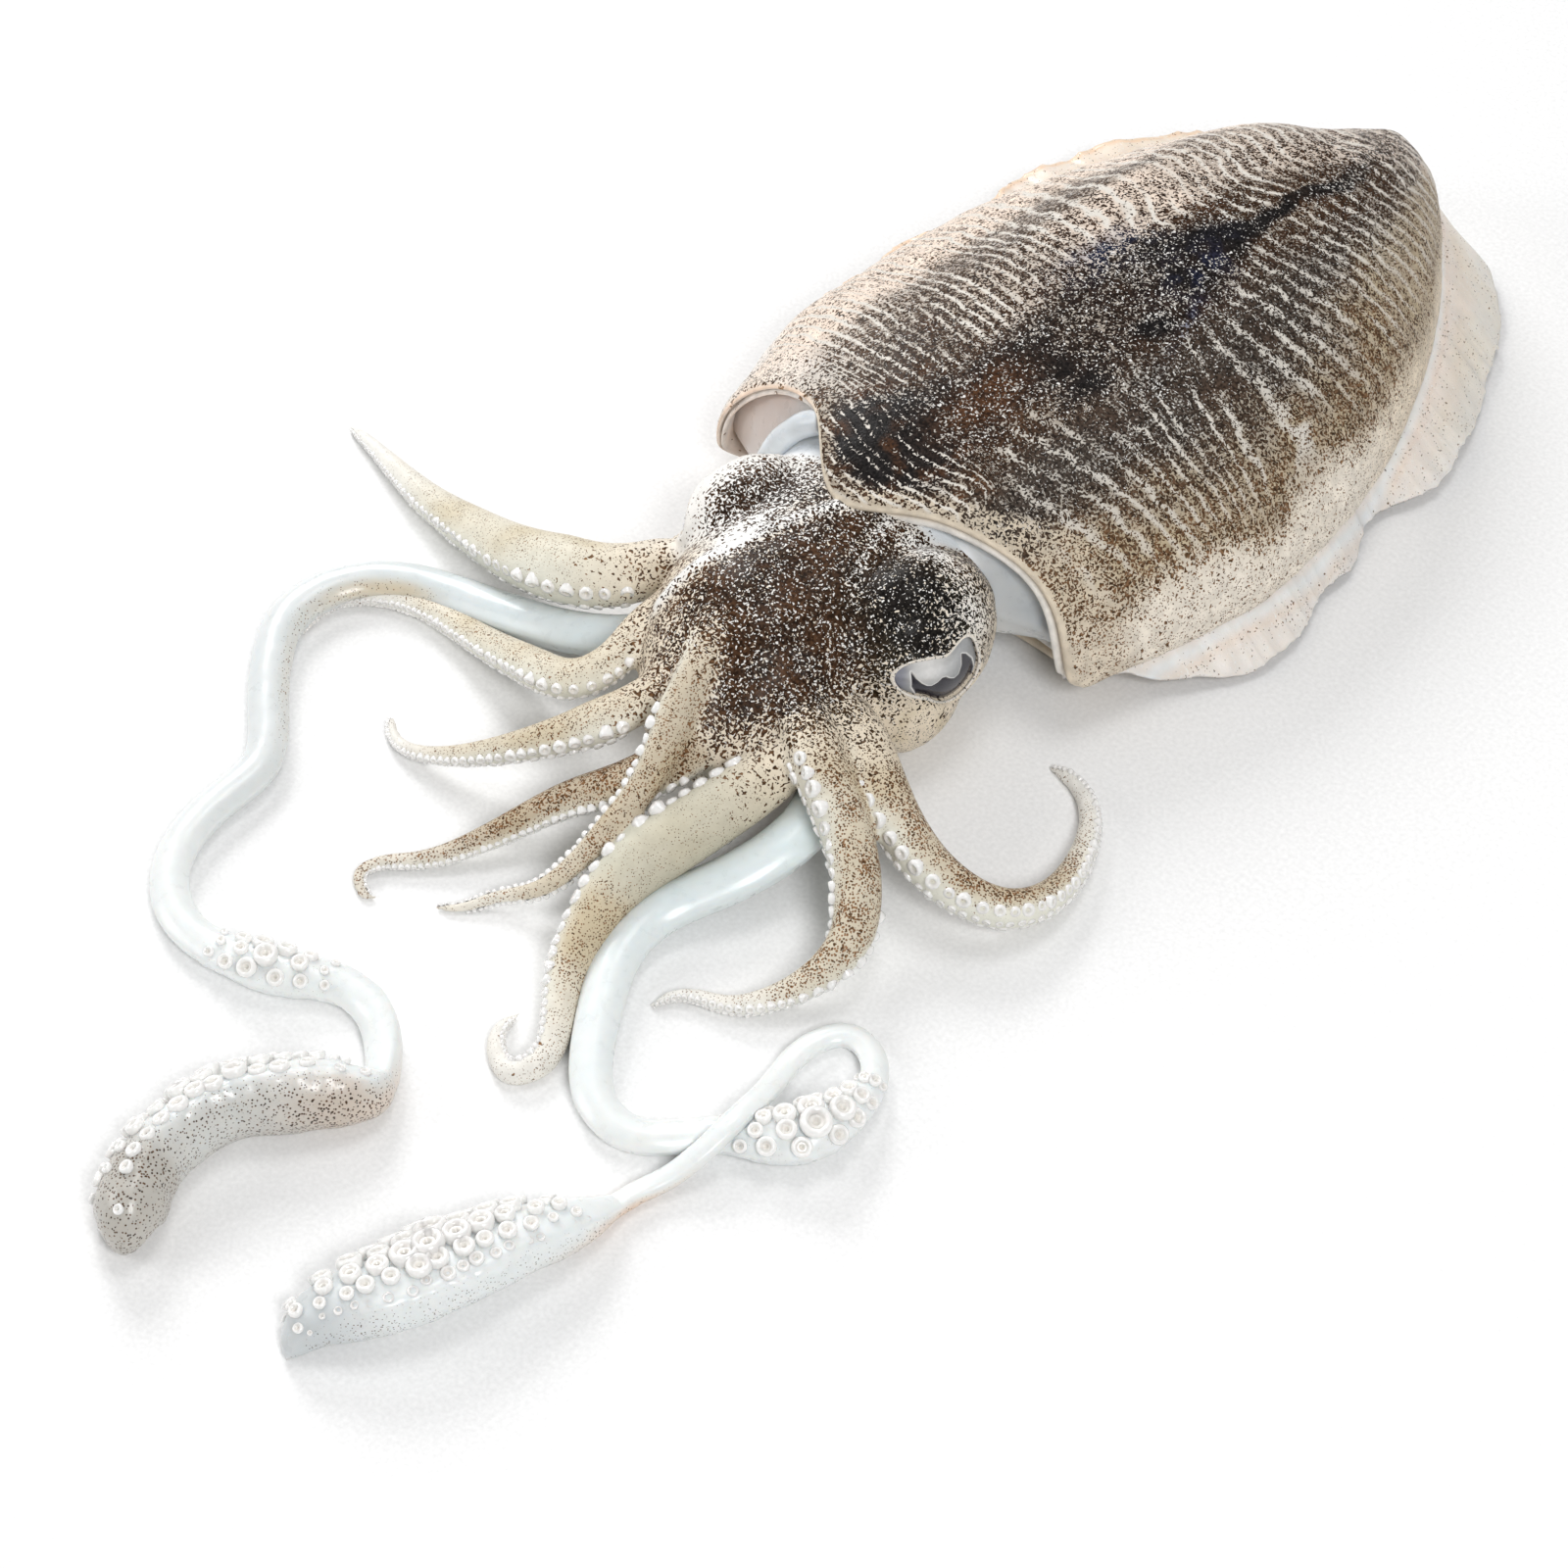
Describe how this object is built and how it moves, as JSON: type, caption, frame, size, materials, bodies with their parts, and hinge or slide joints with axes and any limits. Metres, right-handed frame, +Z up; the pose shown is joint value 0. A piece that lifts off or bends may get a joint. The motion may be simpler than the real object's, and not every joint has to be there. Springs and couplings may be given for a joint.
{
  "type": "whole raw cuttlefish",
  "caption": "Whole raw cuttlefish lying back up: broad finned mantle, head with large eyes, short suckered arms and long club-ended tentacles spread out in front.",
  "frame": {"origin": "centre of the footprint, on the surface that the animal lies on", "axes": "+Z up, out of the back; +Y along the mantle towards the tail, so the head and arms point to -Y; +X towards the animal's left side, the near side in the picture"},
  "size_m": [0.2151, 0.3931, 0.0492],
  "materials": {
    "skin": "moist mottled brown skin"
  },
  "bodies": {
    "root": {"cuttlefish": "skin"}
  },
  "joints": []
}
